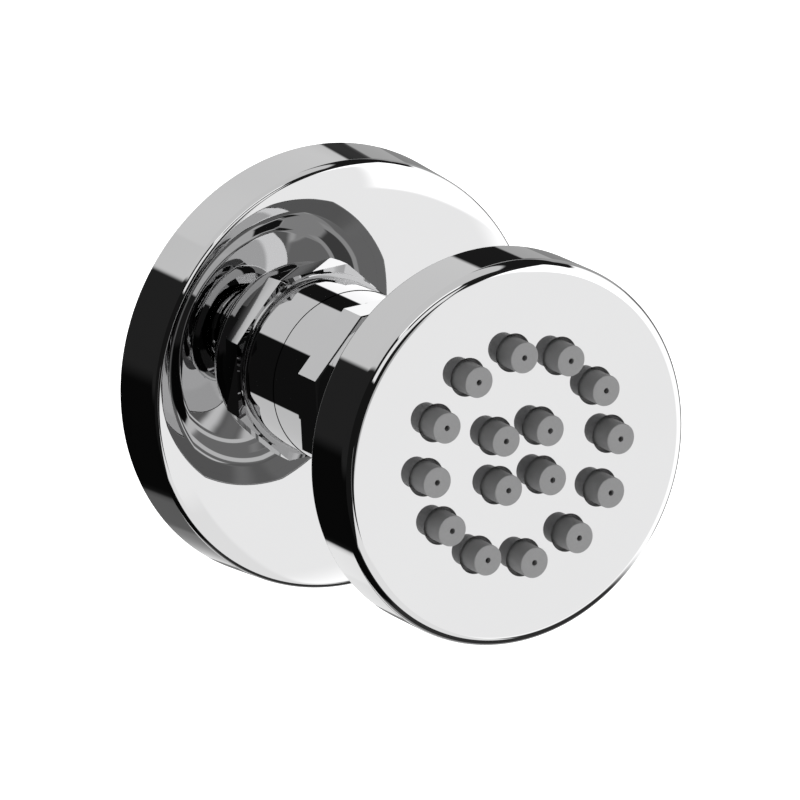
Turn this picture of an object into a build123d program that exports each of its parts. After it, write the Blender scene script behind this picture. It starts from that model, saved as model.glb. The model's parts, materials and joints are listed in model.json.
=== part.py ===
from build123d import *
import os
from math import acos, asin, cos, degrees, radians, sin, sqrt

# Round swivel body jet for a shower wall.
# A domed flange slides over a fixed neck with a female pipe thread. An octagonal nut holds a ball in
# the neck, and the ball's hollow stem carries a flat round head with sixteen soft nozzles.
# Millimetres. The origin is on the jet axis in the wall plane, the jet points to -Y and +Z is up.
# A size that ends in _out is a distance from the wall plane towards the user.

# Wall flange
flange_d = 69.5
flange_height = 10.7
flange_flat_width = 1.1
flange_dome_r = 175.0
flange_shoulder_width = 5.6
flange_shoulder_r = 45.0
flange_lean = 0.65
flange_edge_r = 1.2
flange_wall = 1.6
flange_slip = 0.08
hub_wall = 3.4
hub_height = 7.0
grip_groove_depth = 1.7
grip_groove_width = 2.4
seal_width = 4.0
seal_thickness = 2.0

# Neck with a female half inch pipe thread at the wall
neck_d = 27.6
neck_showing = 8.4
neck_edge = 0.1
inlet_minor_d = 18.63
inlet_major_d = 20.96
inlet_thread_length = 9.0
inlet_relief_gap = 0.4
washer_thickness = 1.8
washer_hole_d = 12.6
screen_thickness = 0.6
screen_hole_d = 1.3
screen_hole_counts = (1, 6, 12)
screen_ring_pitch = 2.25
regulator_d = 13.2
regulator_thickness = 2.4
regulator_hole_d = 1.9
regulator_holes = 6
regulator_hole_ring_d = 5.6
waterway_d = 9.0

# Swivel nut, ball and the two rings that the ball turns in
nut_across_flats = 29.6
nut_flats_length = 5.5
nut_washer_face_d = 27.4
nut_washer_face_height = 1.2
nut_thread_d = 24.4
nut_web = 1.0
dome_r = 14.6
dome_lip_r = 0.6
ball_ahead = 3.5
ball_d = 19.6
ball_clearance = 0.2
ring_thickness = 0.8
lip_angle = 52.0
front_ring_angles = (66.0, 92.0)
rear_ring_angles = (112.0, 150.0)
stem_d = 11.0
stem_bore_d = 6.8
stem_fillet = 0.8
stem_collar_d = 16.0
stem_collar_flats = 14.0
stem_collar_length = 3.2
stem_collar_chamfer = 0.4
stem_thread_d = 12.8
stem_thread_length = 6.0
stem_washer_thickness = 1.0

# Spray head
projection = 60.0
head_d = 60.0
head_depth = 10.5
head_wall = 1.9
face_thickness = 1.5
face_edge_r = 1.9
head_back_edge_r = 0.4
plateau_d = 41.4
plateau_height = 2.8
plateau_slope_width = 2.8
plateau_edge_r = 2.9
plateau_foot_edge_r = 5.0
cover_thickness = 2.2
cover_skirt_length = 1.5
cover_skirt_wall = 2.0
boss_d = 18.0
boss_length = 6.5
mat_thickness = 1.5
plate_thickness = 1.8
rim_ring_section_d = 1.9
screw_ring_d = 46.0
screw_count = 4
screw_boss_d = 4.8
screw_d = 1.9
screw_head_d = 3.8
screw_head_height = 1.2
screw_bite = 1.9

# Nozzles: a ring of twelve and an inner ring of four
outer_ring_d = 32.4
outer_nozzles = 12
inner_ring_d = 11.0
inner_nozzles = 4
nozzle_d = 4.8
nozzle_height = 3.35
nozzle_tip_r = 0.15
nozzle_feed_d = 2.8
nozzle_orifice_d = 0.9
nozzle_orifice_length = 1.5
nozzle_hole_clearance = 0.6

# Fits between pieces that stay together
thread_fit = 0.05
seat_fit = 0.05

# Two sizes closer than this are the same
same_size = 0.001

# Radii and distances that follow from the sizes above
flange_r = flange_d / 2
neck_r = neck_d / 2
flange_bore_r = neck_r + flange_slip
hub_r = flange_bore_r + hub_wall
flange_face_r = flange_r - flange_lean
flange_flat_r = flange_bore_r + flange_flat_width
shoulder_start_r = flange_face_r - flange_shoulder_width
dome_fall_sine = (shoulder_start_r - flange_flat_r) / flange_dome_r
rim_fall_sine = dome_fall_sine + flange_shoulder_width / flange_shoulder_r
dome_fall_angle = degrees(asin(dome_fall_sine))
rim_fall_angle = degrees(asin(rim_fall_sine))
dome_fall = flange_dome_r * (1 - cos(asin(dome_fall_sine)))
shoulder_fall = flange_shoulder_r * (cos(asin(dome_fall_sine)) - cos(asin(rim_fall_sine)))
flange_rim_out = flange_height - dome_fall - shoulder_fall
flange_inner_r = flange_r - flange_wall
hub_back_out = flange_height - hub_height
grip_groove_out = flange_height - hub_height / 2
neck_front_out = flange_height + neck_showing
washer_back_out = inlet_thread_length + inlet_relief_gap
screen_back_out = washer_back_out + washer_thickness
inlet_floor_out = screen_back_out + screen_thickness
regulator_floor_out = inlet_floor_out + regulator_thickness
flats_back_out = neck_front_out + nut_washer_face_height
flats_front_out = flats_back_out + nut_flats_length
ball_out = flats_front_out + ball_ahead
ball_r = ball_d / 2
ring_inner_r = ball_r + ball_clearance
ring_outer_r = ring_inner_r + ring_thickness
cavity_r = ring_outer_r + ball_clearance
waterway_r = waterway_d / 2
nut_thread_r = nut_thread_d / 2
nut_web_back_out = ball_out - nut_web
spigot_front_out = nut_web_back_out - ball_clearance
head_r = head_d / 2
head_back_out = projection - head_depth
plateau_out = head_back_out - plateau_height
plateau_r = plateau_d / 2
plateau_foot_r = plateau_r + plateau_slope_width
head_inner_r = head_r - head_wall
cover_r = head_inner_r - thread_fit
cover_skirt_out = head_back_out + cover_thickness + cover_skirt_length
face_back_out = projection - face_thickness
mat_back_out = face_back_out - mat_thickness
plate_back_out = mat_back_out - plate_thickness
collar_front_out = plateau_out - stem_washer_thickness
collar_back_out = collar_front_out - stem_collar_length
stem_end_out = collar_front_out + stem_thread_length
boss_end_out = plateau_out + boss_length
nozzle_hole_r = nozzle_d / 2 + nozzle_hole_clearance
nozzle_tip_out = projection + nozzle_height

# Half section of a turned piece: x is the radius, y is the distance out from the wall
section = Plane(origin=(0, 0, 0), x_dir=(1, 0, 0), z_dir=(0, 0, -1))


def across(out):
    """Plane square to the jet axis, facing the user, at a distance out from the wall."""
    return Plane(origin=(0, -out, 0), x_dir=(1, 0, 0), z_dir=(0, -1, 0))


def ball_arc(radius, front_angle, back_angle):
    """Arc round the ball's centre in the half section, between two angles from the jet direction."""
    return CenterArc((0, ball_out), radius, 90 - back_angle, back_angle - front_angle)


def ring_edges(builder, radius):
    """The round edges of one radius on a piece."""
    circles = builder.edges().filter_by(GeomType.CIRCLE)
    return circles.filter_by(lambda edge: abs(edge.radius - radius) < same_size)


def nozzle_circles(radius, mode=Mode.ADD):
    """One circle at each nozzle, in the sketch that is open."""
    with PolarLocations(outer_ring_d / 2, outer_nozzles, start_angle=90):
        Circle(radius, mode=mode)
    with PolarLocations(inner_ring_d / 2, inner_nozzles, start_angle=45):
        Circle(radius, mode=mode)


def screw_circles(radius, mode=Mode.ADD):
    """One circle at each plate screw, in the sketch that is open."""
    with PolarLocations(screw_ring_d / 2, screw_count, start_angle=45):
        Circle(radius, mode=mode)


# Wall flange: a hollow pressing with a shallow dome, a rounder shoulder, a leaning rim and a hub inside
with BuildPart() as wall_flange:
    with BuildSketch(section):
        with BuildLine():
            flat = Line((flange_bore_r, flange_height), (flange_flat_r, flange_height))
            dome = JernArc(flat @ 1, flat % 1, flange_dome_r, -dome_fall_angle)
            shoulder = JernArc(dome @ 1, dome % 1, flange_shoulder_r, dome_fall_angle - rim_fall_angle)
            Polyline(shoulder @ 1, (flange_r, 0), (flange_bore_r, 0), flat @ 0)
        make_face()
    revolve(axis=Axis.Y)
    fillet(ring_edges(wall_flange, flange_face_r), flange_edge_r)
    with BuildSketch(section):
        with BuildLine():
            Polyline(
                (0, 0),
                (flange_inner_r, 0),
                (flange_inner_r, seal_thickness),
                (flange_inner_r - flange_lean, flange_rim_out - flange_wall),
                (hub_r, flange_height - flange_wall),
                (hub_r, hub_back_out),
                (0, hub_back_out),
                close=True,
            )
        make_face()
    revolve(axis=Axis.Y, mode=Mode.SUBTRACT)
    with BuildSketch(section):
        with Locations((flange_bore_r, grip_groove_out)):
            Rectangle(2 * grip_groove_depth, grip_groove_width)
    revolve(axis=Axis.Y, mode=Mode.SUBTRACT)

# Rubber ring in the hub that grips the neck
grip_section_r = (flange_slip + grip_groove_depth) / 2 - seat_fit
with BuildPart() as flange_grip_ring:
    with BuildSketch(section):
        with Locations((neck_r + seat_fit + grip_section_r, grip_groove_out)):
            Circle(grip_section_r)
    revolve(axis=Axis.Y)

# Foam ring inside the rim that seals the flange to the wall
with BuildPart() as wall_seal:
    with BuildSketch(across(0)):
        Circle(flange_inner_r - seat_fit)
        Circle(flange_inner_r - seat_fit - seal_width, mode=Mode.SUBTRACT)
    extrude(amount=seal_thickness)

# Neck: pipe thread with a relief behind it, pocket for the regulator, round chamber for the ball and a
# threaded spigot for the nut
with BuildPart() as neck_body:
    with BuildSketch(section):
        with BuildLine():
            Polyline(
                (0, 0),
                (neck_r, 0),
                (neck_r, neck_front_out),
                (nut_thread_r, neck_front_out),
                (nut_thread_r, spigot_front_out),
                (0, spigot_front_out),
                close=True,
            )
        make_face()
    revolve(axis=Axis.Y)
    chamfer(ring_edges(neck_body, neck_r), neck_edge)
    with BuildSketch(section):
        with BuildLine():
            mouth_angle = degrees(acos(-sqrt(cavity_r**2 - waterway_r**2) / cavity_r))
            rim_angle = degrees(acos((spigot_front_out - ball_out) / cavity_r))
            chamber = ball_arc(cavity_r, rim_angle, mouth_angle)
            Polyline(
                chamber @ 0,
                (waterway_r, regulator_floor_out),
                (regulator_d / 2, regulator_floor_out),
                (regulator_d / 2, inlet_floor_out),
                (inlet_major_d / 2, inlet_floor_out),
                (inlet_major_d / 2, inlet_thread_length),
                (inlet_minor_d / 2, inlet_thread_length),
                (inlet_minor_d / 2, 0),
                (0, 0),
                (0, spigot_front_out),
                chamber @ 1,
            )
        make_face()
    revolve(axis=Axis.Y, mode=Mode.SUBTRACT)

# Inlet: sealing washer over a strainer, with a flow regulator in the pocket below
with BuildPart() as inlet_washer:
    with BuildSketch(across(washer_back_out)):
        Circle(inlet_minor_d / 2 - seat_fit)
        Circle(washer_hole_d / 2, mode=Mode.SUBTRACT)
    extrude(amount=washer_thickness)

with BuildPart() as inlet_screen:
    with BuildSketch(across(screen_back_out)):
        Circle(inlet_minor_d / 2 - seat_fit)
        for ring, hole_count in enumerate(screen_hole_counts):
            with PolarLocations(ring * screen_ring_pitch, hole_count):
                Circle(screen_hole_d / 2, mode=Mode.SUBTRACT)
    extrude(amount=screen_thickness)

with BuildPart() as flow_regulator:
    with BuildSketch(across(inlet_floor_out)):
        Circle(regulator_d / 2 - seat_fit)
        with PolarLocations(regulator_hole_ring_d / 2, regulator_holes):
            Circle(regulator_hole_d / 2, mode=Mode.SUBTRACT)
    extrude(amount=regulator_thickness)

# Swivel nut: eight wrench flats, a round washer face behind them and a round dome that closes over the ball
with BuildPart() as swivel_nut:
    with BuildSketch(across(flats_back_out)):
        RegularPolygon(nut_across_flats / 2, 8, major_radius=False, rotation=22.5)
    extrude(amount=nut_flats_length)
    with BuildSketch(across(flats_front_out)):
        Circle(dome_r)
    extrude(amount=ball_ahead)
    with BuildSketch(across(neck_front_out)):
        Circle(nut_washer_face_d / 2)
    extrude(amount=nut_washer_face_height)
    with BuildSketch(section):
        with BuildLine():
            bore_r = nut_thread_r + thread_fit
            Polyline(
                (0, neck_front_out),
                (bore_r, neck_front_out),
                (bore_r, nut_web_back_out),
                (cavity_r, nut_web_back_out),
                (cavity_r, ball_out),
                (0, ball_out),
                close=True,
            )
        make_face()
    revolve(axis=Axis.Y, mode=Mode.SUBTRACT)
    with BuildSketch(section):
        with BuildLine():
            dome_outside = ball_arc(dome_r, lip_angle, 90)
            dome_inside = ball_arc(cavity_r, lip_angle, 90)
            Line(dome_outside @ 0, dome_inside @ 0)
            Line(dome_outside @ 1, dome_inside @ 1)
        make_face()
    revolve(axis=Axis.Y)
    fillet(ring_edges(swivel_nut, dome_r * sin(radians(lip_angle))), dome_lip_r)

# The two rings that the ball turns in
with BuildPart() as front_ball_ring:
    with BuildSketch(section):
        with BuildLine():
            outside = ball_arc(ring_outer_r, *front_ring_angles)
            inside = ball_arc(ring_inner_r, *front_ring_angles)
            Line(outside @ 0, inside @ 0)
            Line(outside @ 1, inside @ 1)
        make_face()
    revolve(axis=Axis.Y)

with BuildPart() as rear_ball_seal:
    with BuildSketch(section):
        with BuildLine():
            outside = ball_arc(ring_outer_r, *rear_ring_angles)
            inside = ball_arc(ring_inner_r, *rear_ring_angles)
            Line(outside @ 0, inside @ 0)
            Line(outside @ 1, inside @ 1)
        make_face()
    revolve(axis=Axis.Y)

# Ball and hollow stem in one turned piece, with two flats on the collar for a wrench
with BuildPart() as ball_stem:
    with BuildSketch(section):
        with BuildLine():
            stem_angle = degrees(asin(stem_d / ball_d))
            inlet_angle = 180 - degrees(asin((stem_bore_d / 2 + ring_thickness) / ball_r))
            ball = ball_arc(ball_r, stem_angle, inlet_angle)
            Polyline(
                ball @ 1,
                (stem_d / 2, collar_back_out),
                (stem_collar_d / 2, collar_back_out),
                (stem_collar_d / 2, collar_front_out),
                (stem_thread_d / 2, collar_front_out),
                (stem_thread_d / 2, stem_end_out),
                (stem_bore_d / 2, stem_end_out),
                (stem_bore_d / 2, (ball @ 0).Y),
                ball @ 0,
            )
        make_face()
    revolve(axis=Axis.Y)
    chamfer(ring_edges(ball_stem, stem_collar_d / 2), stem_collar_chamfer)
    fillet(ring_edges(ball_stem, stem_d / 2), stem_fillet)
    flat_depth = (stem_collar_d - stem_collar_flats) / 2
    with BuildSketch(across(collar_back_out)):
        with Locations((stem_collar_flats / 2 + flat_depth / 2, 0), (-stem_collar_flats / 2 - flat_depth / 2, 0)):
            Rectangle(flat_depth, stem_collar_d)
    extrude(amount=stem_collar_length, mode=Mode.SUBTRACT)

with BuildPart() as stem_washer:
    with BuildSketch(across(collar_front_out)):
        Circle(stem_collar_flats / 2)
        Circle(stem_thread_d / 2 + thread_fit, mode=Mode.SUBTRACT)
    extrude(amount=stem_washer_thickness)

# Back cover: a raised round middle with a soft slope, a threaded boss inside and a skirt for the rim ring
with BuildPart() as back_cover:
    with BuildSketch(section):
        with BuildLine():
            boss_bore_r = stem_thread_d / 2 + thread_fit
            inner_plateau_r = plateau_r - cover_thickness / 2
            inner_foot_r = plateau_foot_r - cover_thickness / 2
            Polyline(
                (boss_bore_r, plateau_out),
                (plateau_r, plateau_out),
                (plateau_foot_r, head_back_out),
                (cover_r, head_back_out),
                (cover_r, cover_skirt_out),
                (cover_r - cover_skirt_wall, cover_skirt_out),
                (cover_r - cover_skirt_wall, head_back_out + cover_thickness),
                (inner_foot_r, head_back_out + cover_thickness),
                (inner_plateau_r, plateau_out + cover_thickness),
                (boss_d / 2, plateau_out + cover_thickness),
                (boss_d / 2, boss_end_out),
                (boss_bore_r, boss_end_out),
                close=True,
            )
        make_face()
    revolve(axis=Axis.Y)
    fillet(ring_edges(back_cover, plateau_r), plateau_edge_r)
    fillet(ring_edges(back_cover, plateau_foot_r), plateau_foot_edge_r)

# Rubber ring squeezed between the cover's skirt and the plate
rim_section_r = rim_ring_section_d / 2 - seat_fit
rim_ring_out = (cover_skirt_out + plate_back_out) / 2
with BuildPart() as rim_seal_ring:
    with BuildSketch(section):
        with Locations((cover_r - cover_skirt_wall / 2, rim_ring_out)):
            Circle(rim_section_r)
    revolve(axis=Axis.Y)

# Pressure plate behind the mat, with a feed hole at each nozzle, and the screws that hold it
with BuildPart() as pressure_plate:
    with BuildSketch(across(plate_back_out)):
        Circle(head_inner_r - thread_fit)
        nozzle_circles(nozzle_feed_d / 2, Mode.SUBTRACT)
        screw_circles(screw_d / 2 + seat_fit, Mode.SUBTRACT)
    extrude(amount=plate_thickness)

with BuildPart() as plate_screws:
    with BuildSketch(across(plate_back_out - screw_head_height)):
        screw_circles(screw_head_d / 2)
    extrude(amount=screw_head_height)
    with BuildSketch(across(plate_back_out)):
        screw_circles(screw_d / 2)
    extrude(amount=plate_thickness + screw_bite)

# Soft mat with the sixteen nozzles: plain barrels that stand in wider holes in the face
with BuildPart() as nozzle_mat:
    with BuildSketch(across(mat_back_out)):
        Circle(head_inner_r - thread_fit)
        screw_circles(screw_boss_d / 2 + seat_fit, Mode.SUBTRACT)
    extrude(amount=mat_thickness)
    with BuildSketch(across(face_back_out)):
        nozzle_circles(nozzle_d / 2)
    extrude(amount=face_thickness + nozzle_height)
    fillet(ring_edges(nozzle_mat, nozzle_d / 2).group_by(Axis.Y)[0], nozzle_tip_r)
    with BuildSketch(across(mat_back_out)):
        nozzle_circles(nozzle_feed_d / 2)
    extrude(amount=nozzle_tip_out - nozzle_orifice_length - mat_back_out, mode=Mode.SUBTRACT)
    with BuildSketch(across(mat_back_out)):
        nozzle_circles(nozzle_orifice_d / 2)
    extrude(amount=nozzle_tip_out - mat_back_out, mode=Mode.SUBTRACT)

# Head shell: one cup with the flat face, a hole at each nozzle and bosses for the screws
with BuildPart() as head_shell:
    with BuildSketch(across(head_back_out)):
        Circle(head_r)
    extrude(amount=head_depth)
    fillet(ring_edges(head_shell, head_r).sort_by(Axis.Y)[0], face_edge_r)
    fillet(ring_edges(head_shell, head_r).sort_by(Axis.Y)[-1], head_back_edge_r)
    with BuildSketch(across(head_back_out)):
        Circle(head_inner_r)
    extrude(amount=head_depth - face_thickness, mode=Mode.SUBTRACT)
    with BuildSketch(across(mat_back_out)):
        screw_circles(screw_boss_d / 2)
    extrude(amount=mat_thickness)
    with BuildSketch(across(mat_back_out)):
        screw_circles(screw_d / 2 + seat_fit)
    extrude(amount=screw_bite + seat_fit, mode=Mode.SUBTRACT)
    with BuildSketch(across(face_back_out)):
        nozzle_circles(nozzle_hole_r)
    extrude(amount=face_thickness, mode=Mode.SUBTRACT)

pieces = {
    "wall_flange": wall_flange,
    "flange_grip_ring": flange_grip_ring,
    "wall_seal": wall_seal,
    "neck_body": neck_body,
    "inlet_washer": inlet_washer,
    "inlet_screen": inlet_screen,
    "flow_regulator": flow_regulator,
    "swivel_nut": swivel_nut,
    "front_ball_ring": front_ball_ring,
    "rear_ball_seal": rear_ball_seal,
    "ball_stem": ball_stem,
    "stem_washer": stem_washer,
    "back_cover": back_cover,
    "rim_seal_ring": rim_seal_ring,
    "pressure_plate": pressure_plate,
    "plate_screws": plate_screws,
    "nozzle_mat": nozzle_mat,
    "head_shell": head_shell,
}
os.makedirs("parts", exist_ok=True)
for name, piece in pieces.items():
    piece.part.label = name
    export_step(piece.part, f"parts/{name}.step")
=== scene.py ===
import json
from math import acos, asin, atan2, ceil, cos, pi, radians, sin, sqrt, tan
from typing import NamedTuple

import bmesh
import bpy
from bpy.props import FloatProperty, FloatVectorProperty, IntProperty, PointerProperty
from mathutils import Matrix, Vector


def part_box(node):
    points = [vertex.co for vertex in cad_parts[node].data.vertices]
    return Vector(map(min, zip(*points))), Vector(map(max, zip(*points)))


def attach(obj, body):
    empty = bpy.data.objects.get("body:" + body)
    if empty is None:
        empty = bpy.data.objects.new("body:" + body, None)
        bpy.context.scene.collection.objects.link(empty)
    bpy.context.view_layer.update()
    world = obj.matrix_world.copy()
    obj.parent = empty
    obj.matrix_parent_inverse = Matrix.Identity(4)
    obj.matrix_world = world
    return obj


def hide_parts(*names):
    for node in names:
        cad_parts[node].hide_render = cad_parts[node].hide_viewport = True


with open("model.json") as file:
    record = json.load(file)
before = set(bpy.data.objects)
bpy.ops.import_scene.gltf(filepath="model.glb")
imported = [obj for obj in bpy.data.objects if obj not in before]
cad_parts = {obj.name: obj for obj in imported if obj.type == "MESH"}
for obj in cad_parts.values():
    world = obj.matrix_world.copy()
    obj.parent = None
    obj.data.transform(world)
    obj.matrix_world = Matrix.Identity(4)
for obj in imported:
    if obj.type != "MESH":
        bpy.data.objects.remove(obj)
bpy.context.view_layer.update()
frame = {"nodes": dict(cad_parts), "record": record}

bl_info = {
    "name": "Shower body jet",
    "version": (1, 0, 0),
    "blender": (4, 5, 0),
    "location": "View3D > Sidebar > Body jet",
    "description": "Dresses a chrome shower body jet and sets it in a pale studio",
    "category": "Object",
}

MM = 0.001
SEGMENTS = 256
NOZZLE_SEGMENTS = 64
ARC_STEP = radians(3)
ARC_STEPS = 12
SHARP_ANGLE = radians(28)
NORMAL_WEIGHT = 100

# Limits below which a radius counts as none, and a cosine isn't divided by
ON_AXIS = 1e-7
LEAST_COSINE = 0.01

# Steps in each turn of the pipe thread, and the level and slope of its flanks
THREAD_STEPS = 12
THREAD_LEVEL = 1.4
THREAD_SLOPE = 4.0

# Colour sockets of a mix node
MIX_FIRST = 6
MIX_SECOND = 7
MIX_RESULT = 2

# Camera's sensor in millimetres, and how far it sees in metres
SENSOR_WIDTH = 36
CLIP_END = 200


# Reading sizes off the frame


def reach(node):
    """Largest radius of a round node about the jet axis."""
    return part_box(node)[1].x


def nearest_out(node):
    """Distance from the wall to the end of a node that is nearer to it."""
    return -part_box(node)[1].y


def farthest_out(node):
    """Distance from the wall to the end of a node that is nearer to the user."""
    return -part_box(node)[0].y


# Sizes and colours that a user would change


def length(label, words, value):
    """A size property, in metres, with its default."""
    return FloatProperty(name=label, description=words, default=value, unit="LENGTH", precision=5)


def colour(label, words, value):
    """A colour property with its default."""
    return FloatVectorProperty(
        name=label, description=words, default=value, subtype="COLOR", size=3, min=0, max=1
    )


def angle_in_degrees(label, words, value):
    """An angle property, with its default in degrees."""
    return FloatProperty(name=label, description=words, default=radians(value), subtype="ANGLE")


def count(label, words, value):
    """A property that counts copies, with its default."""
    return IntProperty(name=label, description=words, default=value, min=1)


class FlangeSettings(bpy.types.PropertyGroup):
    """Wall flange"""

    flat_width: length("Flat width", "Width of the flat round the neck", 5.1 * MM)
    dome_radius: length("Dome radius", "Radius of the shallow dome", 110.0 * MM)
    shoulder_width: length("Shoulder width", "Width of the rounder shoulder inside the rim", 5.6 * MM)
    shoulder_radius: length("Shoulder radius", "Radius of the shoulder's arc", 45.0 * MM)
    lean: length("Lean", "How much narrower the rim is at the face", 0.65 * MM)
    edge_round: length("Edge rounding", "Rounding between the face and the rim", 1.2 * MM)
    wall: length("Wall", "Thickness of the shell", 1.6 * MM)
    hub_height: length("Hub height", "Length of the hub inside", 7.0 * MM)
    hub_wall: length("Hub wall", "Thickness of the hub", 3.4 * MM)
    slip: length("Slip", "Gap between the flange and the neck", 0.08 * MM)
    groove_depth: length("Groove depth", "Depth of the groove for the grip ring", 1.7 * MM)
    groove_width: length("Groove width", "Width of the groove for the grip ring", 2.4 * MM)


class NeckSettings(bpy.types.PropertyGroup):
    """Neck and its pipe thread"""

    radius: length("Radius", "Radius of the neck", reach("neck_body"))
    front: length("Front", "Distance from the wall to the shoulder that the nut meets", 19.1 * MM)
    edge: length("Edge", "Chamfer on the neck's edges", 0.1 * MM)
    thread_minor: length("Thread minor radius", "Inner radius of the female thread", 9.315 * MM)
    thread_major: length("Thread major radius", "Outer radius of the female thread", 10.48 * MM)
    thread_pitch: length("Thread pitch", "Distance from one turn to the next", 1.814 * MM)
    thread_length: length("Thread length", "Length of the threaded wall", 9.0 * MM)
    inlet_floor: length("Inlet floor", "Distance from the wall to the floor of the inlet", 11.8 * MM)
    pocket_radius: length("Pocket radius", "Radius of the regulator's pocket", 6.6 * MM)
    pocket_floor: length("Pocket floor", "Distance from the wall to the pocket's floor", 14.2 * MM)
    waterway: length("Waterway", "Radius of the waterway", 4.5 * MM)
    spigot_radius: length("Spigot radius", "Radius of the threaded spigot", 12.2 * MM)


class NutSettings(bpy.types.PropertyGroup):
    """Swivel nut"""

    sides: count("Sides", "Number of wrench flats", 8)
    half_flats: length("Half across flats", "Distance from the axis to a flat", reach("swivel_nut"))
    flats_length: length("Flats length", "Length of the wrench flats", 5.5 * MM)
    washer_radius: length("Washer radius", "Radius of the washer face", 14.5 * MM)
    washer_height: length("Washer height", "Height of the washer face", 1.2 * MM)
    washer_relief: length("Washer relief", "Fall of the washer face past the neck", 0.25 * MM)
    chamfer: length("Chamfer", "Chamfer on the front of the flats", 0.18 * MM)
    back_chamfer: length("Back chamfer", "Chamfer on the back of the flats", 0.2 * MM)
    dome_radius: length("Dome radius", "Radius of the dome over the ball", 14.6 * MM)
    ball_ahead: length("Ball ahead", "Distance from the front of the flats to the ball's centre", 3.5 * MM)
    cavity_radius: length("Cavity radius", "Radius of the hollow in the dome", 11.0 * MM)
    web: length("Web", "Thickness behind the dome's foot", 1.0 * MM)
    lip_angle: angle_in_degrees("Lip angle", "Half angle of the dome's mouth", 52)
    thread_gap: length("Thread gap", "Gap between the nut's bore and the spigot", 0.05 * MM)


class StemSettings(bpy.types.PropertyGroup):
    """Ball and stem"""

    ball_radius: length("Ball radius", "Radius of the ball", 9.8 * MM)
    stem_radius: length("Stem radius", "Radius of the stem", 5.5 * MM)
    bore: length("Bore", "Radius of the stem's bore", 3.4 * MM)
    bore_wall: length("Bore wall", "Wall at the ball's open end", 0.8 * MM)
    collar_radius: length("Collar radius", "Radius of the collar", 8.0 * MM)
    collar_flats: length("Collar flats", "Distance from the axis to the collar's flats", 7.0 * MM)
    collar_length: length("Collar length", "Length of the collar", 3.2 * MM)
    collar_chamfer: length("Collar chamfer", "Chamfer on the collar", 0.4 * MM)
    thread_radius: length("Thread radius", "Radius of the stem's thread", 6.4 * MM)
    thread_length: length("Thread length", "Length of the stem's thread", 6.0 * MM)


class HeadSettings(bpy.types.PropertyGroup):
    """Spray head"""

    radius: length("Radius", "Radius of the head", reach("head_shell"))
    wall: length("Wall", "Thickness of the rim", 1.9 * MM)
    face: length("Face", "Thickness of the face", 1.5 * MM)
    face_round: length("Face rounding", "Rounding between the face and the rim", 1.9 * MM)
    back_round: length("Back rounding", "Rounding at the back of the rim", 0.4 * MM)
    cover_gap: length("Cover gap", "Gap between the cover and the rim", 0.005 * MM)
    cover_wall: length("Cover wall", "Thickness of the cover", 2.2 * MM)
    plateau_radius: length("Plateau radius", "Radius of the cover's raised middle", 20.6 * MM)
    plateau_height: length("Plateau height", "Height of the cover's raised middle", 2.8 * MM)
    crown_radius: length("Crown radius", "Radius of the raised middle's crown", 150.0 * MM)
    crown_margin: length("Crown margin", "Width that the rounding takes off the crown's edge", 1.5 * MM)
    slope_width: length("Slope width", "Width of the slope round the middle", 3.8 * MM)
    slope_edge: length("Slope edge", "Rounding at the top of the slope", 6.0 * MM)
    slope_foot: length("Slope foot", "Rounding at the foot of the slope", 7.0 * MM)
    skirt: length("Skirt", "Length of the cover's skirt", 1.5 * MM)
    skirt_wall: length("Skirt wall", "Thickness of the cover's skirt", 2.0 * MM)
    boss_radius: length("Boss radius", "Radius of the threaded boss", 9.0 * MM)
    boss_bore: length("Boss bore", "Radius of the boss's bore", 6.45 * MM)
    boss_length: length("Boss length", "Length of the boss", 6.5 * MM)


class NozzleSettings(bpy.types.PropertyGroup):
    """Soft nozzles"""

    outer_ring: length("Outer ring", "Radius of the outer ring", 16.2 * MM)
    outer_count: count("Outer nozzles", "Nozzles in the outer ring", 12)
    inner_ring: length("Inner ring", "Radius of the inner ring", 5.5 * MM)
    inner_count: count("Inner nozzles", "Nozzles in the inner ring", 4)
    inner_turn: angle_in_degrees("Inner turn", "Angle of the first inner nozzle", 45)
    radius: length("Radius", "Radius of a nozzle", 2.4 * MM)
    tip_round: length("Tip rounding", "Rounding of the tip", 0.15 * MM)
    feed: length("Feed", "Radius of the feed hole", 1.4 * MM)
    orifice: length("Orifice", "Radius of the orifice", 0.45 * MM)
    orifice_length: length("Orifice length", "Length of the orifice", 1.5 * MM)
    mat: length("Mat", "Thickness of the mat", 1.5 * MM)
    hole_gap: length("Hole gap", "Gap between a nozzle and its hole", 0.6 * MM)


class FinishSettings(bpy.types.PropertyGroup):
    """Colours of the finishes"""

    chrome: colour("Chrome", "Polished chrome plating", (0.64, 0.64, 0.643))
    silicone: colour("Silicone", "Grey nozzle silicone", (0.235, 0.235, 0.237))
    rubber: colour("Rubber", "Black rubber", (0.02, 0.02, 0.02))
    foam: colour("Foam", "Closed-cell foam", (0.05, 0.05, 0.053))
    plastic: colour("Plastic", "White moulded plastic", (0.72, 0.72, 0.70))
    steel: colour("Steel", "Plain stainless steel", (0.56, 0.56, 0.57))


class StageSettings(bpy.types.PropertyGroup):
    """Camera, floor and studio light"""

    azimuth: angle_in_degrees("Azimuth", "Camera's angle round the jet", -30.1)
    elevation: angle_in_degrees("Elevation", "Camera's angle above the horizon", 17.93)
    roll: angle_in_degrees("Roll", "Camera's roll", -2.99)
    distance: length("Distance", "Distance from the camera to its target", 1.5)
    target: FloatVectorProperty(
        name="Target", description="Point that the camera looks at", default=(0.000323, -0.025, -0.000143),
        size=3, subtype="XYZ", unit="LENGTH", precision=6,
    )
    lens: FloatProperty(name="Lens", description="Focal length in millimetres", default=440.5)
    floor_drop: length("Floor drop", "Height of the jet's axis above the floor", 0.12)
    floor_size: length("Floor size", "Length of the floor's side", 60.0)
    floor_colour: colour("Floor", "Pale floor", (0.92, 0.92, 0.92))


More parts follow.
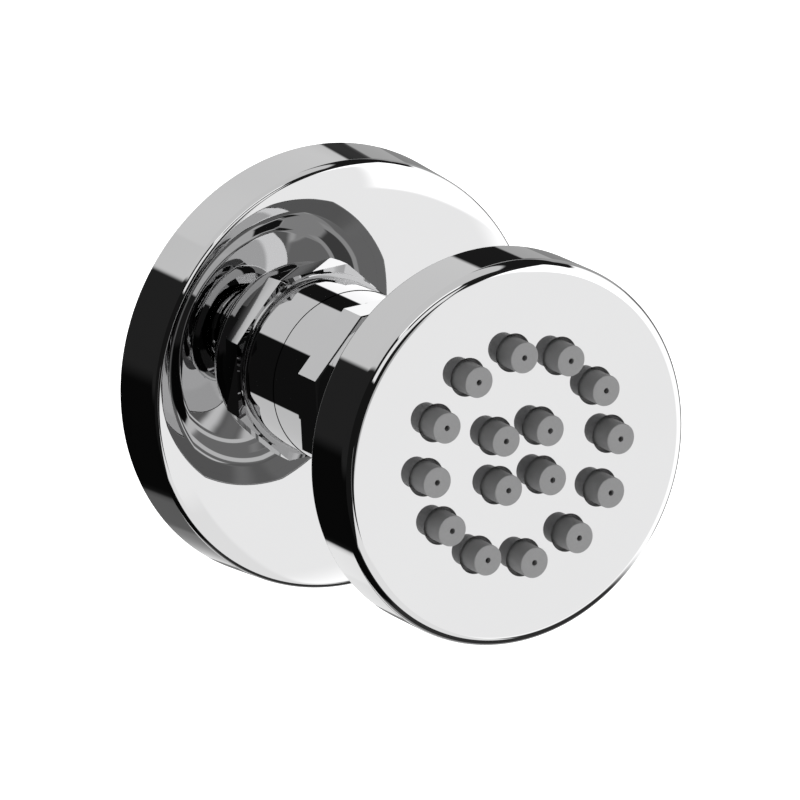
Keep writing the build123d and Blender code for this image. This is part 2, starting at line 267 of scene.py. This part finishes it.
SETTINGS = {
    "jet_flange": FlangeSettings,
    "jet_neck": NeckSettings,
    "jet_nut": NutSettings,
    "jet_stem": StemSettings,
    "jet_head": HeadSettings,
    "jet_nozzles": NozzleSettings,
    "jet_finish": FinishSettings,
    "jet_stage": StageSettings,
}


# Half sections: lists of (radius, distance out from the wall)


def arc(centre, radius, start, end):
    """Points on an arc in the half section, from one angle to another, with both ends."""
    steps = max(ARC_STEPS, ceil(abs(end - start) / ARC_STEP))
    angles = [start + (end - start) * i / steps for i in range(steps + 1)]
    return [(centre[0] + radius * cos(a), centre[1] + radius * sin(a)) for a in angles]


def rounded(corners):
    """Closed half section through corners, each (radius, out) or (radius, out, rounding)."""
    outline = []
    for i, (radius, out, *rounding) in enumerate(corners):
        here = Vector((radius, out))
        if not rounding:
            outline.append((radius, out))
            continue
        back = (Vector(corners[i - 1][:2]) - here).normalized()
        ahead = (Vector(corners[(i + 1) % len(corners)][:2]) - here).normalized()
        half = back.angle(ahead) / 2
        centre = here + (back + ahead).normalized() * (rounding[0] / sin(half))
        first = here + back * (rounding[0] / tan(half)) - centre
        last = here + ahead * (rounding[0] / tan(half)) - centre
        start = atan2(first.y, first.x)
        turn = (atan2(last.y, last.x) - start + pi) % (2 * pi) - pi
        outline += arc(centre, rounding[0], start, start + turn)
    return outline


def disc(radius, back, front):
    """Half section of a plain disc."""
    return [(radius, back), (radius, front), (0, front), (0, back)]


def ball_centre(scene):
    """Centre of the ball in a half section."""
    nut = scene.jet_nut
    return (0, scene.jet_neck.front + nut.washer_height + nut.flats_length + nut.ball_ahead)


def turned(name, outline, width=None, segments=SEGMENTS):
    """Solid turned about the jet axis from a closed half section.

    width(radius, out, angle) gives another radius where the piece isn't round.
    """
    build = bmesh.new()
    angles = [2 * pi * i / segments for i in range(segments)]
    rings = []
    for radius, out in outline:
        if radius < ON_AXIS:
            rings.append(None)
            continue
        radii = [width(radius, out, a) if width else radius for a in angles]
        rings.append([build.verts.new((r * cos(a), -out, r * sin(a))) for r, a in zip(radii, angles)])
    for ring, following in zip(rings, rings[1:] + rings[:1]):
        if ring and following:
            for i in range(segments):
                j = (i + 1) % segments
                build.faces.new((ring[i], ring[j], following[j], following[i]))
        elif ring or following:
            build.faces.new(ring or following)
    bmesh.ops.recalc_face_normals(build, faces=build.faces)
    mesh = bpy.data.meshes.new(name)
    build.to_mesh(mesh)
    build.free()
    piece = bpy.data.objects.new(name, mesh)
    bpy.context.scene.collection.objects.link(piece)
    return piece


def applied(piece):
    """Turns a piece's modifiers into its mesh."""
    shown = piece.evaluated_get(bpy.context.evaluated_depsgraph_get())
    plain = piece.data
    piece.data = bpy.data.meshes.new_from_object(shown)
    piece.modifiers.clear()
    bpy.data.meshes.remove(plain)


def cut(piece, cutter):
    """Takes the cutter's solids out of a piece, and removes the cutter."""
    boolean = piece.modifiers.new("cut", "BOOLEAN")
    boolean.operation = "DIFFERENCE"
    boolean.solver = "EXACT"
    boolean.object = cutter
    applied(piece)
    bpy.data.objects.remove(cutter)


def joined(name, parts):
    """One object from several, which are removed."""
    build = bmesh.new()
    for part in parts:
        part.data.transform(part.matrix_world)
        build.from_mesh(part.data)
        bpy.data.objects.remove(part)
    mesh = bpy.data.meshes.new(name)
    build.to_mesh(mesh)
    build.free()
    piece = bpy.data.objects.new(name, mesh)
    bpy.context.scene.collection.objects.link(piece)
    return piece


def finished(piece, slot, body, *nodes):
    """Smooths a piece, gives it its finish and lets it ride in place of its nodes."""
    piece.data.materials.clear()
    piece.data.materials.append(finish_of(slot))
    piece.data.shade_smooth()
    piece.data.set_sharp_from_angle(angle=SHARP_ANGLE)
    normals = piece.modifiers.new("even_normals", "WEIGHTED_NORMAL")
    normals.mode = "FACE_AREA"
    normals.weight = NORMAL_WEIGHT
    normals.keep_sharp = True
    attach(piece, body)
    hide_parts(*nodes)
    return piece


# Finishes


class Finish:
    """A material that is made afresh, with helpers for its nodes."""

    def __init__(self, name):
        self.material = bpy.data.materials.get(name) or bpy.data.materials.new(name)
        self.material.use_nodes = True
        self.tree = self.material.node_tree
        self.tree.nodes.clear()
        self.shader = self.add("ShaderNodeBsdfPrincipled")
        self.link(self.shader.outputs["BSDF"], self.add("ShaderNodeOutputMaterial").inputs["Surface"])

    def add(self, kind, **values):
        """A node of one kind, with inputs or settings by name."""
        node = self.tree.nodes.new(kind)
        for key, value in values.items():
            if key in node.inputs:
                node.inputs[key].default_value = value
            else:
                setattr(node, key, value)
        return node

    def link(self, start, end):
        """Joins an output to an input."""
        self.tree.links.new(start, end)

    def assign(self, **values):
        """Sets the shader's inputs, by names with underscores for spaces."""
        for key, value in values.items():
            self.shader.inputs[key.replace("_", " ")].default_value = value

    def noise(self, scale, detail=3.0):
        """Noise in the piece's own space."""
        place = self.add("ShaderNodeTexCoord")
        noise = self.add("ShaderNodeTexNoise", Scale=scale, Detail=detail)
        self.link(place.outputs["Object"], noise.inputs["Vector"])
        return noise

    def vary(self, noise, socket, low, high):
        """Lets noise move a value between two limits."""
        spread = self.add("ShaderNodeMapRange")
        spread.inputs["To Min"].default_value = low
        spread.inputs["To Max"].default_value = high
        self.link(noise.outputs["Fac"], spread.inputs["Value"])
        self.link(spread.outputs["Result"], self.shader.inputs[socket])

    def tint(self, noise, rgb, spread):
        """Lets noise move a colour a little darker and lighter."""
        mix = self.add("ShaderNodeMix", data_type="RGBA")
        mix.inputs[MIX_FIRST].default_value = (*[c * (1 - spread) for c in rgb], 1)
        mix.inputs[MIX_SECOND].default_value = (*[min(c * (1 + spread), 1) for c in rgb], 1)
        self.link(noise.outputs["Fac"], mix.inputs["Factor"])
        self.link(mix.outputs[MIX_RESULT], self.shader.inputs["Base Color"])

    def grain(self, noise, strength, depth):
        """Fine relief from noise."""
        bump = self.add("ShaderNodeBump", Strength=strength, Distance=depth)
        self.link(noise.outputs["Fac"], bump.inputs["Height"])
        self.link(bump.outputs["Normal"], self.shader.inputs["Normal"])


def chrome_finish(settings):
    finish = Finish("polished_chrome")
    finish.assign(Metallic=1.0)
    polish = finish.noise(scale=60.0)
    finish.tint(polish, settings.chrome, spread=0.01)
    finish.vary(polish, "Roughness", low=0.006, high=0.014)
    return finish.material


def silicone_finish(settings):
    finish = Finish("grey_silicone")
    finish.assign(Specular_IOR_Level=0.35)
    skin = finish.noise(scale=2500.0)
    finish.tint(skin, settings.silicone, spread=0.06)
    finish.vary(skin, "Roughness", low=0.55, high=0.68)
    finish.grain(skin, strength=0.15, depth=0.02 * MM)
    return finish.material


def rubber_finish(settings):
    finish = Finish("black_rubber")
    skin = finish.noise(scale=3000.0)
    finish.tint(skin, settings.rubber, spread=0.15)
    finish.vary(skin, "Roughness", low=0.45, high=0.6)
    finish.grain(skin, strength=0.2, depth=0.02 * MM)
    return finish.material


def foam_finish(settings):
    finish = Finish("closed_cell_foam")
    cells = finish.noise(scale=1800.0, detail=6.0)
    finish.tint(cells, settings.foam, spread=0.3)
    finish.vary(cells, "Roughness", low=0.8, high=0.95)
    finish.grain(cells, strength=0.6, depth=0.15 * MM)
    return finish.material


def plastic_finish(settings):
    finish = Finish("white_plastic")
    skin = finish.noise(scale=1500.0)
    finish.tint(skin, settings.plastic, spread=0.03)
    finish.vary(skin, "Roughness", low=0.35, high=0.45)
    finish.grain(skin, strength=0.1, depth=0.02 * MM)
    return finish.material


def steel_finish(settings):
    finish = Finish("plain_steel")
    finish.assign(Metallic=1.0)
    grain = finish.noise(scale=900.0)
    finish.tint(grain, settings.steel, spread=0.05)
    finish.vary(grain, "Roughness", low=0.22, high=0.38)
    return finish.material


FINISHES = {
    "chrome": chrome_finish,
    "silicone": silicone_finish,
    "black_rubber": rubber_finish,
    "foam": foam_finish,
    "white_plastic": plastic_finish,
    "steel": steel_finish,
}


def finish_of(slot):
    """The material of one of the record's slots."""
    return FINISHES[slot](bpy.context.scene.jet_finish)


# Pieces


class JET_OT_wall_flange(bpy.types.Operator):
    """Make the wall flange with its hub and domed face"""

    bl_idname = "jet.wall_flange"
    bl_label = "Wall flange"

    def execute(self, context):
        size = context.scene.jet_flange
        rim = reach("wall_flange")
        height = farthest_out("wall_flange")
        bore = context.scene.jet_neck.radius + size.slip
        hub = bore + size.hub_wall
        edge = rim - size.lean
        flat = bore + size.flat_width
        dome_turn = asin((edge - size.shoulder_width - flat) / size.dome_radius)
        rim_turn = asin(sin(dome_turn) + size.shoulder_width / size.shoulder_radius)
        dome_centre = Vector((flat, height - size.dome_radius))
        towards_knee = Vector((sin(dome_turn), cos(dome_turn)))
        shoulder_centre = dome_centre + (size.dome_radius - size.shoulder_radius) * towards_knee
        edge_out = shoulder_centre.y + size.shoulder_radius * cos(rim_turn)
        inside = rim - size.wall
        hub_back = height - size.hub_height
        groove = height - size.hub_height / 2
        dome = arc(dome_centre, size.dome_radius, pi / 2, pi / 2 - dome_turn)
        shoulder = arc(shoulder_centre, size.shoulder_radius, pi / 2 - dome_turn, pi / 2 - rim_turn)
        face = [point for point in dome + shoulder[1:] if point[0] < edge - size.edge_round]
        outline = rounded([
            (bore, height),
            *face,
            (edge, edge_out, size.edge_round),
            (rim, 0),
            (inside, 0),
            (inside, farthest_out("wall_seal")),
            (inside - size.lean, edge_out - size.wall),
            (hub, height - size.wall),
            (hub, hub_back),
            (bore, hub_back),
            (bore, groove - size.groove_width / 2),
            (bore + size.groove_depth, groove - size.groove_width / 2),
            (bore + size.groove_depth, groove + size.groove_width / 2),
            (bore, groove + size.groove_width / 2),
        ])
        flange = turned("wall_flange_shell", outline)
        finished(flange, "chrome", "flange", "wall_flange")
        return {"FINISHED"}


class JET_OT_neck(bpy.types.Operator):
    """Make the neck with its pipe thread"""

    bl_idname = "jet.neck"
    bl_label = "Neck"

    def execute(self, context):
        size = context.scene.jet_neck
        spigot_front = farthest_out("neck_body")
        ball = ball_centre(context.scene)
        cavity = context.scene.jet_nut.cavity_radius
        mouth_angle = -acos(size.waterway / cavity)
        rim_angle = asin((spigot_front - ball[1]) / cavity)
        turns = size.thread_length / size.thread_pitch
        steps = ceil(turns * THREAD_STEPS)
        crest = size.thread_minor
        depth = size.thread_major - size.thread_minor

        def thread(radius, out, angle):
            """Radius of the threaded wall: a helix with flat crests that fades at both ends."""
            if abs(radius - crest) > ON_AXIS or not 0 < out < size.thread_length:
                return radius
            phase = (out / size.thread_pitch + angle / (2 * pi)) % 1
            fade = min(1, out / size.thread_pitch, (size.thread_length - out) / size.thread_pitch)
            rise = THREAD_LEVEL - abs(phase - 0.5) * THREAD_SLOPE
            return radius + depth * fade * max(0, min(1, rise))

        outline = [
            (size.radius - size.edge, 0),
            (size.radius, size.edge),
            (size.radius, size.front - size.edge),
            (size.radius - size.edge, size.front),
            (size.spigot_radius, size.front),
            (size.spigot_radius, spigot_front),
        ]
        outline += arc(ball, cavity, rim_angle, mouth_angle)
        outline += [
            (size.waterway, size.pocket_floor),
            (size.pocket_radius, size.pocket_floor),
            (size.pocket_radius, size.inlet_floor),
            (size.thread_major, size.inlet_floor),
            (size.thread_major, size.thread_length),
        ]
        outline += [(crest, size.thread_length * (1 - i / steps)) for i in range(steps + 1)]
        neck = turned("neck_tube", outline, thread)
        finished(neck, "chrome", "neck", "neck_body")
        return {"FINISHED"}


class JET_OT_swivel_nut(bpy.types.Operator):
    """Make the swivel nut with its wrench flats and dome"""

    bl_idname = "jet.swivel_nut"
    bl_label = "Swivel nut"

    def execute(self, context):
        size = context.scene.jet_nut
        neck = context.scene.jet_neck
        back = neck.front
        flats_back = back + size.washer_height
        flats_front = flats_back + size.flats_length
        bore = neck.spigot_radius + size.thread_gap
        side = 2 * pi / size.sides
        chamfered = size.half_flats - size.chamfer

        def width(radius, out, angle):
            """Radius of a wrench flat at an angle, or the radius as it is."""
            if min(abs(radius - size.half_flats), abs(radius - chamfered)) > ON_AXIS:
                return radius
            return radius / cos((angle + side / 2) % side - side / 2)

        ball = ball_centre(context.scene)
        outline = [
            (bore, back),
            (neck.radius, back),
            (size.washer_radius, back + size.washer_relief),
            (size.washer_radius, flats_back),
            (size.half_flats, flats_back + size.back_chamfer),
            (size.half_flats, flats_front - size.chamfer),
            (chamfered, flats_front),
            (size.dome_radius, flats_front),
        ]
        outline += arc(ball, size.dome_radius, 0, pi / 2 - size.lip_angle)
        outline += arc(ball, size.cavity_radius, pi / 2 - size.lip_angle, 0)
        outline += [(size.cavity_radius, ball[1] - size.web), (bore, ball[1] - size.web)]
        nut = turned("swivel_nut_shell", outline, width)
        finished(nut, "chrome", "neck", "swivel_nut")
        return {"FINISHED"}


class JET_OT_ball_stem(bpy.types.Operator):
    """Make the ball and its hollow stem"""

    bl_idname = "jet.ball_stem"
    bl_label = "Ball and stem"

    def execute(self, context):
        size = context.scene.jet_stem
        end = farthest_out("ball_stem")
        collar_front = end - size.thread_length
        collar_back = collar_front - size.collar_length
        ball = ball_centre(context.scene)
        stem_angle = acos(size.stem_radius / size.ball_radius)
        inlet_angle = -acos((size.bore + size.bore_wall) / size.ball_radius)

        def width(radius, out, angle):
            """Cuts the collar back to its two flats."""
            if not collar_back <= out <= collar_front or radius <= size.thread_radius:
                return radius
            return min(radius, size.collar_flats / max(abs(cos(angle)), LEAST_COSINE))

        outline = arc(ball, size.ball_radius, inlet_angle, stem_angle)
        outline += [
            (size.stem_radius, collar_back),
            (size.collar_radius - size.collar_chamfer, collar_back),
            (size.collar_radius, collar_back + size.collar_chamfer),
            (size.collar_radius, collar_front - size.collar_chamfer),
            (size.collar_radius - size.collar_chamfer, collar_front),
            (size.thread_radius, collar_front),
            (size.thread_radius, end),
            (size.bore, end),
            (size.bore, outline[0][1]),
        ]
        stem = turned("ball_stem_shell", outline, width)
        finished(stem, "chrome", "head", "ball_stem")
        return {"FINISHED"}


def nozzle_places(size):
    """Centre of each nozzle, as (x, z)."""
    rings = (
        (size.outer_ring, size.outer_count, 0),
        (size.inner_ring, size.inner_count, size.inner_turn),
    )
    for radius, total, first in rings:
        for i in range(total):
            angle = first + 2 * pi * i / total
            yield radius * cos(angle), radius * sin(angle)


def at_each_nozzle(name, size, outline):
    """One turned solid at each nozzle, as one object."""
    copies = []
    for x, z in nozzle_places(size):
        copy = turned(name, outline, segments=NOZZLE_SEGMENTS)
        copy.data.transform(Matrix.Translation((x, 0, z)))
        copies.append(copy)
    return joined(name, copies)


class JET_OT_spray_head(bpy.types.Operator):
    """Make the head's shell and its back cover"""

    bl_idname = "jet.spray_head"
    bl_label = "Spray head"

    def execute(self, context):
        size = context.scene.jet_head
        nozzles = context.scene.jet_nozzles
        back = nearest_out("head_shell")
        front = farthest_out("head_shell")
        inside = size.radius - size.wall
        outline = rounded([
            (size.radius, back, size.back_round),
            (size.radius, front, size.face_round),
            (0, front),
            (0, front - size.face),
            (inside, front - size.face),
            (inside, back),
        ])
        shell = turned("head_cup", outline)
        hole = nozzles.radius + nozzles.hole_gap
        past = size.face / 2
        drill = disc(hole, front - size.face - past, front + past)
        cut(shell, at_each_nozzle("nozzle_drill", nozzles, drill))
        finished(shell, "chrome", "head", "head_shell")

        cover = inside - size.cover_gap
        plateau_out = back - size.plateau_height
        skirt_out = back + size.cover_wall + size.skirt
        foot = size.plateau_radius + size.slope_width
        crown_centre = (0, plateau_out + sqrt(size.crown_radius ** 2 - size.boss_radius ** 2))
        crown_start = -acos(size.boss_radius / size.crown_radius)
        crown_end = -acos(size.plateau_radius / size.crown_radius)
        crown = arc(crown_centre, size.crown_radius, crown_start, crown_end)
        edge_start = size.plateau_radius - size.crown_margin
        outline = rounded([
            (size.boss_bore, plateau_out),
            *[point for point in crown if point[0] < edge_start],
            (*crown[-1], size.slope_edge),
            (foot, back, size.slope_foot),
            (cover, back),
            (cover, skirt_out),
            (cover - size.skirt_wall, skirt_out),
            (cover - size.skirt_wall, back + size.cover_wall),
            (foot - size.cover_wall / 2, back + size.cover_wall),
            (size.plateau_radius - size.cover_wall / 2, plateau_out + size.cover_wall),
            (size.boss_radius, plateau_out + size.cover_wall),
            (size.boss_radius, plateau_out + size.boss_length),
            (size.boss_bore, plateau_out + size.boss_length),
        ])
        finished(turned("head_back", outline), "chrome", "head", "back_cover")
        return {"FINISHED"}


class JET_OT_nozzles(bpy.types.Operator):
    """Make the soft mat with its nozzles"""

    bl_idname = "jet.nozzles"
    bl_label = "Nozzles"

    def execute(self, context):
        size = context.scene.jet_nozzles
        tip = farthest_out("nozzle_mat")
        back = nearest_out("nozzle_mat")
        barrel = rounded([
            (size.feed, back),
            (size.radius, back),
            (size.radius, tip, size.tip_round),
            (size.orifice, tip),
            (size.orifice, tip - size.orifice_length),
            (size.feed, tip - size.orifice_length),
        ])
        barrels = at_each_nozzle("nozzle_barrels", size, barrel)
        radius = reach("nozzle_mat")
        sheet = turned("mat_sheet", disc(radius, back, back + size.mat))
        past = size.mat / 2
        drill = disc(size.radius, back - past, back + size.mat + past)
        cut(sheet, at_each_nozzle("mat_drill", size, drill))
        mat = joined("nozzle_mat_soft", [sheet, barrels])
        finished(mat, "silicone", "head", "nozzle_mat")
        return {"FINISHED"}


class JET_OT_inner_pieces(bpy.types.Operator):
    """Give the seals, rings, screws and other inner pieces their finishes"""

    bl_idname = "jet.inner_pieces"
    bl_label = "Inner pieces"

    def execute(self, context):
        for row in frame["record"]["subparts"]:
            node = frame["nodes"][row["node"]]
            if node.hide_render:
                continue
            node.data.materials.clear()
            node.data.materials.append(finish_of(row["material_slot"]))
        return {"FINISHED"}


# Stage


class StudioPanel(NamedTuple):
    """Part of the studio that is lighter or darker, as seen from the jet.

    start, end and soft are degrees round the jet axis, from the right. near and far are depths along
    it, from -1 in front of the jet to 1 behind it. A later panel covers an earlier one.
    """

    name: str
    start: float
    end: float
    soft: float
    near: float
    far: float
    level: float


OPEN_SKY = 1.6
DEPTH_SOFTNESS = 0.0125
STUDIO_PANELS = (
    StudioPanel("behind_wall", -10, 370, 1.2, 0.84, 1.01, 0.20),
    StudioPanel("below", 225, 320, 4.0, -0.60, 0.30, 0.04),
    StudioPanel("behind_below", 225, 320, 4.0, 0.28, 0.60, 0.31),
    StudioPanel("behind_low_light", 225, 330, 1.2, 0.58, 0.75, 1.05),
    StudioPanel("behind_low_back", 250, 309, 1.2, 0.81, 0.845, 1.15),
    StudioPanel("behind_low", 225, 344, 1.2, 0.74, 0.812, 0.14),
    StudioPanel("behind_low_middle", 278, 344, 2.0, 0.74, 0.805, 0.28),
    StudioPanel("behind_low_right", 309, 344, 1.2, 0.78, 0.85, 0.22),
    StudioPanel("behind_right_edge", 325, 358, 1.2, 0.60, 0.85, 0.28),
    StudioPanel("behind_right", -3, 38, 1.2, 0.25, 0.84, 0.47),
    StudioPanel("right_light", -35, 9, 2.0, 0.50, 0.69, 0.56),
    StudioPanel("right", -35, 9, 2.0, 0.20, 0.52, 0.10),
    StudioPanel("behind_left", 120, 253, 1.2, -0.30, 0.90, 0.022),
    StudioPanel("behind_lower_left", 189, 253, 5.0, -0.30, 0.90, 0.0035),
    StudioPanel("behind_top", 17, 60, 1.2, 0.79, 0.84, 0.014),
    StudioPanel("behind_top_low", 19, 60, 1.2, 0.73, 0.80, 0.014),
    StudioPanel("behind_top_lower", 38, 64, 1.2, 0.25, 0.755, 0.014),
    StudioPanel("top", 32, 80, 1.2, -0.65, 0.27, 0.014),
    StudioPanel("upper_left", 62, 139, 1.6, -0.42, 0.77, 0.82),
    StudioPanel("behind_upper_left_low", 30.5, 139, 1.2, 0.755, 0.80, 0.82),
    StudioPanel("behind_upper_left", 46, 139, 1.6, 0.79, 0.86, 0.82),
    StudioPanel("front", -10, 370, 4.0, -1.01, -0.70, 1.24),
    StudioPanel("front_right", -10, 43, 1.2, -0.845, -0.30, 2.1),
    StudioPanel("front_pole", -10, 370, 1.2, -1.02, -0.965, 0.60),
    StudioPanel("front_pole_left", 60, 260, 1.2, -1.02, -0.872, 0.015),
    StudioPanel("front_left", 120, 188, 1.2, -1.01, -0.28, 0.011),
    StudioPanel("front_lower_left", 180, 225, 1.2, -0.87, -0.28, 0.011),
    StudioPanel("ceiling", 46, 139, 1.2, -0.70, -0.55, 0.028),
    StudioPanel("front_top", 43, 80, 1.2, -0.87, -0.60, 0.014),
    StudioPanel("front_upper_left", 71, 144, 1.2, -0.87, -0.69, 1.18),
    StudioPanel("front_nut", 112, 144, 1.2, -0.70, -0.58, 1.18),
    StudioPanel("front_low", 225, 300, 1.2, -0.87, -0.42, 1.12),
)


class JET_OT_stage(bpy.types.Operator):
    """Make the floor, the studio light and the camera"""

    bl_idname = "jet.stage"
    bl_label = "Stage"

    def execute(self, context):
        stage = context.scene.jet_stage
        self.make_floor(stage)
        self.make_light(context.scene)
        self.make_camera(context.scene, stage)
        context.scene.view_settings.view_transform = "Standard"
        return {"FINISHED"}

    def make_floor(self, stage):
        """A pale floor that the chrome doesn't mirror."""
        half = stage.floor_size / 2
        mesh = bpy.data.meshes.new("floor")
        corners = [(-half, -half), (half, -half), (half, half), (-half, half)]
        mesh.from_pydata([(x, y, -stage.floor_drop) for x, y in corners], [], [(0, 1, 2, 3)])
        floor = bpy.data.objects.new("floor", mesh)
        bpy.context.scene.collection.objects.link(floor)
        finish = Finish("pale_floor")
        finish.assign(Base_Color=(*stage.floor_colour, 1), Roughness=0.8)
        finish.assign(Emission_Color=(1, 1, 1, 1), Emission_Strength=1.0)
        mesh.materials.append(finish.material)
        floor.visible_glossy = False

    def make_light(self, scene):
        """Soft light all round, with grey and black panels about the jet axis."""
        world = bpy.data.worlds.new("studio")
        scene.world = world
        world.use_nodes = True
        tree = world.node_tree
        place = tree.nodes.new("ShaderNodeTexCoord")
        split = tree.nodes.new("ShaderNodeSeparateXYZ")
        tree.links.new(place.outputs["Generated"], split.inputs["Vector"])
        angle = self.maths(tree, "ARCTAN2", split.outputs["Z"], split.outputs["X"])
        light = OPEN_SKY
        for panel in STUDIO_PANELS:
            middle = radians(panel.start + panel.end) / 2
            away = self.maths(tree, "WRAP", self.maths(tree, "SUBTRACT", angle, middle), pi, -pi)
            across = self.mask(tree, away, radians(panel.end - panel.start) / 2, radians(panel.soft))
            off = self.maths(tree, "SUBTRACT", split.outputs["Y"], (panel.near + panel.far) / 2)
            along = self.mask(tree, off, (panel.far - panel.near) / 2, panel.soft * DEPTH_SOFTNESS)
            mix = tree.nodes.new("ShaderNodeMix")
            mix.label = panel.name
            self.give(tree, mix.inputs["Factor"], self.maths(tree, "MULTIPLY", across, along))
            self.give(tree, mix.inputs["A"], light)
            self.give(tree, mix.inputs["B"], panel.level)
            light = mix.outputs["Result"]
        tree.links.new(light, tree.nodes["Background"].inputs["Color"])

    def give(self, tree, socket, value):
        """Links an output to a socket, or sets a number there."""
        if isinstance(value, bpy.types.NodeSocket):
            tree.links.new(value, socket)
        else:
            socket.default_value = value

    def maths(self, tree, operation, *values):
        """The result of one operation on outputs or numbers."""
        node = tree.nodes.new("ShaderNodeMath")
        node.operation = operation
        for socket, value in zip(node.inputs, values):
            self.give(tree, socket, value)
        return node.outputs["Value"]

    def mask(self, tree, offset, half, soft):
        """One where the offset is within half a width, falling to nothing over a soft edge."""
        node = tree.nodes.new("ShaderNodeMapRange")
        node.interpolation_type = "SMOOTHSTEP"
        node.inputs["From Min"].default_value = half + soft
        node.inputs["From Max"].default_value = half - soft
        self.give(tree, node.inputs["Value"], self.maths(tree, "ABSOLUTE", offset))
        return node.outputs["Result"]

    def make_camera(self, scene, stage):
        """A camera that stands at an angle round its target and is rolled a little."""
        level = cos(stage.elevation)
        back = Vector((sin(stage.azimuth) * level, -cos(stage.azimuth) * level, sin(stage.elevation)))
        right = Vector((0, 0, 1)).cross(back).normalized()
        up = back.cross(right)
        rolled_right = cos(stage.roll) * right + sin(stage.roll) * up
        rolled_up = cos(stage.roll) * up - sin(stage.roll) * right
        data = bpy.data.cameras.new("camera")
        data.sensor_width = SENSOR_WIDTH
        data.lens = stage.lens
        data.clip_end = CLIP_END
        camera = bpy.data.objects.new("camera", data)
        scene.collection.objects.link(camera)
        axes = Matrix((rolled_right, rolled_up, back)).transposed()
        place = Vector(stage.target) + back * stage.distance
        camera.matrix_world = Matrix.Translation(place) @ axes.to_4x4()
        scene.camera = camera


OPERATORS = (
    JET_OT_wall_flange,
    JET_OT_neck,
    JET_OT_swivel_nut,
    JET_OT_ball_stem,
    JET_OT_spray_head,
    JET_OT_nozzles,
    JET_OT_inner_pieces,
    JET_OT_stage,
)


class JET_PT_panel(bpy.types.Panel):
    """Panel with a button for each group of pieces"""

    bl_idname = "JET_PT_panel"
    bl_label = "Body jet"
    bl_space_type = "VIEW_3D"
    bl_region_type = "UI"
    bl_category = "Body jet"

    def draw(self, context):
        for operator in OPERATORS:
            self.layout.operator(operator.bl_idname)
        for name in SETTINGS:
            settings = getattr(context.scene, name)
            box = self.layout.box()
            box.label(text=settings.bl_rna.description)
            for key in settings.__annotations__:
                box.prop(settings, key)


def register():
    for name, settings in SETTINGS.items():
        bpy.utils.register_class(settings)
        setattr(bpy.types.Scene, name, PointerProperty(type=settings))
    for operator in OPERATORS:
        bpy.utils.register_class(operator)
    bpy.utils.register_class(JET_PT_panel)


def unregister():
    bpy.utils.unregister_class(JET_PT_panel)
    for operator in reversed(OPERATORS):
        bpy.utils.unregister_class(operator)
    for name, settings in reversed(list(SETTINGS.items())):
        delattr(bpy.types.Scene, name)
        bpy.utils.unregister_class(settings)


def main():
    register()
    bpy.ops.jet.wall_flange()
    bpy.ops.jet.neck()
    bpy.ops.jet.swivel_nut()
    bpy.ops.jet.ball_stem()
    bpy.ops.jet.spray_head()
    bpy.ops.jet.nozzles()
    bpy.ops.jet.inner_pieces()
    bpy.ops.jet.stage()


if __name__ == "__main__":
    main()
